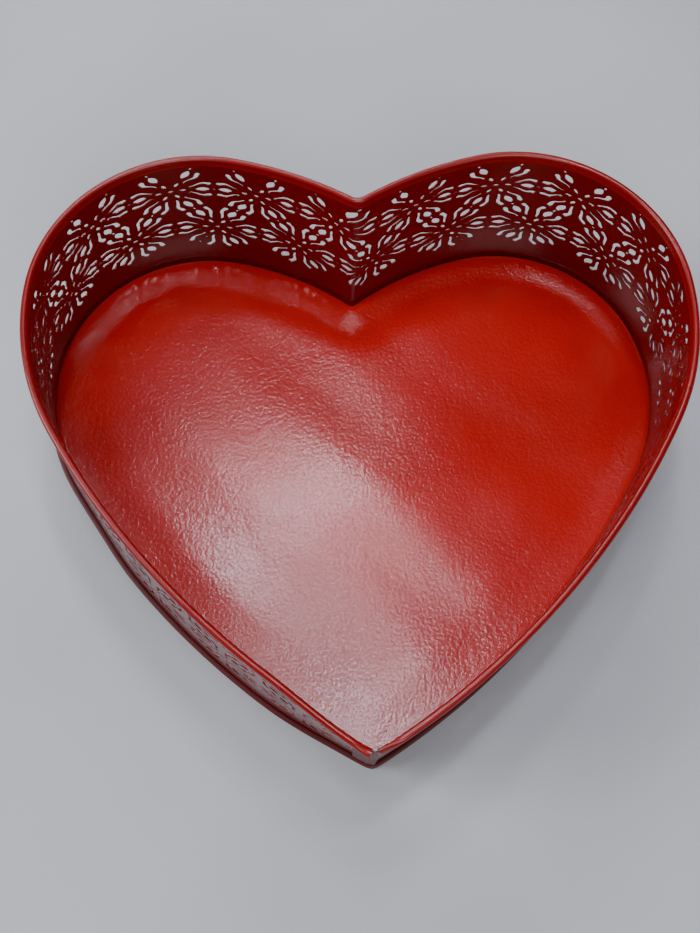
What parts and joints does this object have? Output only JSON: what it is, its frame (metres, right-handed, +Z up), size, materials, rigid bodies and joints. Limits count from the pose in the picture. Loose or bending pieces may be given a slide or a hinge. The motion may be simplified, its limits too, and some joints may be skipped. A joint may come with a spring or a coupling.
{
  "type": "heart-shaped tray",
  "caption": "Open heart-shaped tray of painted sheet steel with an upright wall punched in a flower pattern, a rolled rim and a seamed flat floor.",
  "frame": {"origin": "middle of the object's bounding box, on the surface that it stands on", "axes": "+Z up out of the tray, +X to the right across both lobes, +Y from the tip to the cleft"},
  "size_m": [0.2522, 0.2269, 0.077],
  "materials": {
    "red_enamel": "gloss red baked enamel on sheet steel, slight orange peel",
    "wire_steel": "plain drawn steel wire, hidden inside the rolled bead"
  },
  "bodies": {
    "root": {"side_wall": "red_enamel", "floor_panel": "red_enamel", "rim_wire": "wire_steel"}
  },
  "joints": []
}
